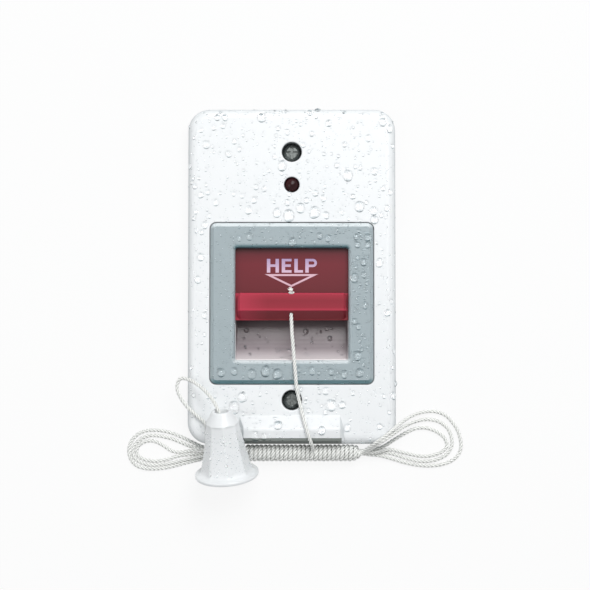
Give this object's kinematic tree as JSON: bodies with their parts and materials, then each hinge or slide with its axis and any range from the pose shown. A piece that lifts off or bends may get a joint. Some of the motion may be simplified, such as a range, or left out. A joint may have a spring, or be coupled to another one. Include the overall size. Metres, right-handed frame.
{
  "type": "emergency pull cord call station",
  "caption": "Sealed wall plate with a sliding red call bar, an indicator lamp and a pull cord that ends in a bell.",
  "frame": {"origin": "middle of the plate's outline, on the plane of the wall that the plate is screwed to", "axes": "+Y up the wall, +Z out of the wall towards the user, +X to the user's right"},
  "size_m": [0.1132, 0.1265, 0.0441],
  "materials": {
    "white_plastic": "satin moulded white",
    "bezel_plastic": "satin blue grey",
    "red_plastic": "satin red",
    "dark_red_lens": "clear dark red epoxy",
    "plated_steel": "zinc plated",
    "magnet_nickel": "nickel plated",
    "black_rubber": "matt",
    "foam": "closed cell foam",
    "board_green": "solder mask",
    "reed_glass": "clear green tint",
    "terminal_green": "moulded",
    "grey_plastic": "moulded light grey",
    "cord_fibre": "twisted nylon"
  },
  "bodies": {
    "station": {"front_housing": "white_plastic", "wall_gasket": "foam", "bezel_frame": "bezel_plastic", "sealing_washer_top": "black_rubber", "sealing_washer_bottom": "black_rubber", "mounting_screw_top": "plated_steel", "mounting_screw_bottom": "plated_steel", "bezel_screw_1": "plated_steel", "bezel_screw_2": "plated_steel", "bezel_screw_3": "plated_steel", "bezel_screw_4": "plated_steel", "indicator_led": "dark_red_lens", "led_seal": "black_rubber", "led_lead_left": "plated_steel", "led_lead_right": "plated_steel", "circuit_board": "board_green", "board_screw_1": "plated_steel", "board_screw_2": "plated_steel", "board_screw_3": "plated_steel", "board_screw_4": "plated_steel", "keeper_plate_up": "plated_steel", "keeper_plate_down": "plated_steel", "reed_switch_up": "reed_glass", "reed_switch_down": "reed_glass", "terminal_block": "terminal_green", "terminal_screw_1": "plated_steel", "terminal_screw_2": "plated_steel", "terminal_screw_3": "plated_steel", "terminal_screw_4": "plated_steel", "cover_gasket": "black_rubber", "rear_cover": "grey_plastic", "cover_screw_1": "plated_steel", "cover_screw_2": "plated_steel", "cover_screw_3": "plated_steel", "cover_screw_4": "plated_steel", "cord_lead": "cord_fibre", "cord_hank": "cord_fibre", "cord_tail": "cord_fibre", "pull_bell": "white_plastic", "bell_knot": "cord_fibre"},
    "slider": {"call_slider": "red_plastic", "slider_magnet": "magnet_nickel", "cord_knot": "cord_fibre"}
  },
  "joints": [
    {"name": "call_bar_slide", "type": "slide", "parent": "station", "child": "slider", "axis": [0, -1, 0], "range_m": [0, 0.01], "deforming": ["cord_lead"]}
  ]
}
